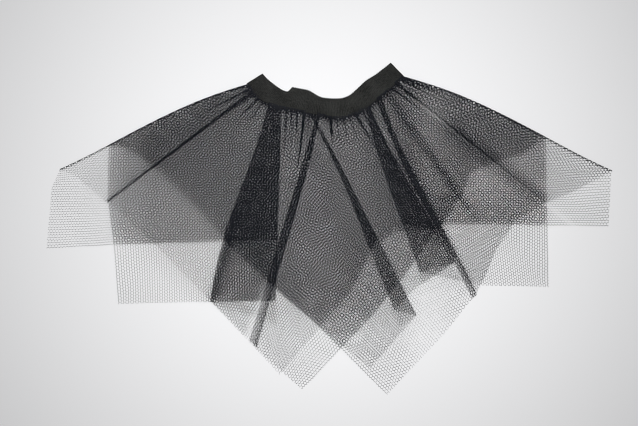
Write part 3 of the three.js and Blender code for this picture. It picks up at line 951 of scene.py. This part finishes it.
# %% Elastic finish
RIB = 1.25  # from one rib to the next
CORD = 2.1  # from one cord of the weft to the next
ZIGZAG_AT, ZIGZAG_WIDE, ZIGZAG_LONG = 3.6, 2.4, 4.2  # up from the lower edge, and the size of a stitch
ZIGZAG_THREAD = 0.45  # half the thread's width
ELASTIC_DARK = (0.004, 0.004, 0.004, 1)
ELASTIC_LIGHT = (0.034, 0.035, 0.033, 1)
STITCH_BLACK = (0.016, 0.016, 0.017, 1)


def elastic_finish():
    """The elastic's material: ribs and cords as cosines, lint and wear as noise, and the zigzag's thread
    within its half width of a triangle wave."""
    f = Finish("elastic_finish")
    place, along, across = f.plan("strip")
    along, across = along / MM, across / MM
    lint = f.node("ShaderNodeTexNoise", {}, {"Vector": place, "Scale": 600.0, "Detail": 2.0})
    wear = f.node("ShaderNodeTexNoise", {}, {"Vector": place, "Scale": 45.0, "Detail": 2.0})
    ribs = (across * (2 * math.pi / RIB)).cos()
    cords = (along * (2 * math.pi / CORD) + wear * 4).cos()
    swing = along.wrapped(ZIGZAG_LONG) * (2 * ZIGZAG_WIDE / ZIGZAG_LONG)
    off = (across - swing - (ZIGZAG_AT - ZIGZAG_WIDE / 2)).size()
    stitch = (1 - off / ZIGZAG_THREAD).most(0)
    tone = lint * 2.2 + wear * 1.2 + cords * 0.16 + ribs * 0.06 - 1.2
    shade = f.mix(tone, ELASTIC_DARK, ELASTIC_LIGHT)
    shade = f.mix(stitch.least(1), shade, STITCH_BLACK)
    height = ribs * 0.35 + cords * 0.5 + lint * 0.8 + stitch * 2.0
    bump = f.node("ShaderNodeBump", {}, {"Strength": 0.6, "Distance": BUMP_HEIGHT, "Height": height})
    return f.surface(Base_Color=shade, Roughness=0.8, Specular_IOR_Level=0.15, Normal=bump)


elastic.data.materials.append(elastic_finish())

# %% Each piece rides on the body and stands for its node
for piece, node, slot in (
    (elastic, "waistband", "elastic"),
    (outer_net, "net_piece_outer", "net_outer"),
    (inner_net, "net_piece_inner", "net_inner"),
):
    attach(piece, "root")
    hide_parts(node)
    print(piece.name, "stands for", node)

# %% [markdown]
# ## Surface, light and camera
#
# The skirt is seen from straight above, in soft light that is brightest in the middle. A sun would light
# it evenly, so one square lamp overhead gives this light, and a faint even light from the room keeps the
# shadows of the net open. Light passes many layers of net, so Cycles is let through more see-through
# surfaces than it is by default.

# %% The surface
PALE = (0.80, 0.80, 0.81, 1)
SURFACE_WIDTH, SURFACE_DROP = 6, 0.0002  # metres, and how far it lies under the frame's own ground
bpy.ops.mesh.primitive_plane_add(size=SURFACE_WIDTH, location=(0, 0, -SURFACE_DROP))
floor = bpy.context.object
floor.name = "floor"
floor.data.materials.append(Finish("floor_finish").surface(Base_Color=PALE, Roughness=0.9))

# %% The camera
VIEW_WIDTH = 638 * 1.35 * MM  # 638 pixels, of 1.35 mm each
VIEW_CENTRE = (-0.0135, 0.0216)
LENS = 50.0
SENSOR = 36.0  # how wide the camera's own sensor is, as Blender sets it
camera = bpy.data.objects.new("camera", bpy.data.cameras.new("camera"))
camera.data.lens = LENS
camera.location = (*VIEW_CENTRE, VIEW_WIDTH * LENS / SENSOR)
bpy.context.collection.objects.link(camera)
bpy.context.scene.camera = camera
print("the camera is", round(camera.location.z, 3), "m up and sees", round(VIEW_WIDTH, 3), "m")

# %% The light, in metres and watts
LAMP_SIZE = 0.22
LAMP_POWER = 5.75
LAMP_SPREAD = 110  # in degrees, and under 180 the light falls off to the sides
LAMP_LEAN = -0.14  # in radians, about the x axis
LAMP_PLACE = (-0.01, 0.17, 1.2)
ROOM_LIGHT = 0.15
lamp = bpy.data.objects.new("soft_lamp", bpy.data.lights.new("soft_lamp", "AREA"))
lamp.data.size = LAMP_SIZE
lamp.data.energy = LAMP_POWER
lamp.data.spread = math.radians(LAMP_SPREAD)
lamp.rotation_euler = (LAMP_LEAN, 0, 0)
lamp.location = LAMP_PLACE
bpy.context.collection.objects.link(lamp)
print("one lamp of", LAMP_POWER, "W,", LAMP_PLACE[2], "m up")

world = bpy.data.worlds.new("room")
world.use_nodes = True
room = world.node_tree.nodes["Background"].inputs
room["Color"].default_value = (1.0, 1.0, 1.0, 1)
room["Strength"].default_value = ROOM_LIGHT
bpy.context.scene.world = world
bpy.context.scene.view_settings.view_transform = "Standard"
bpy.context.scene.cycles.transparent_max_bounces = 24
bpy.context.scene.cycles.filter_width = 1.1
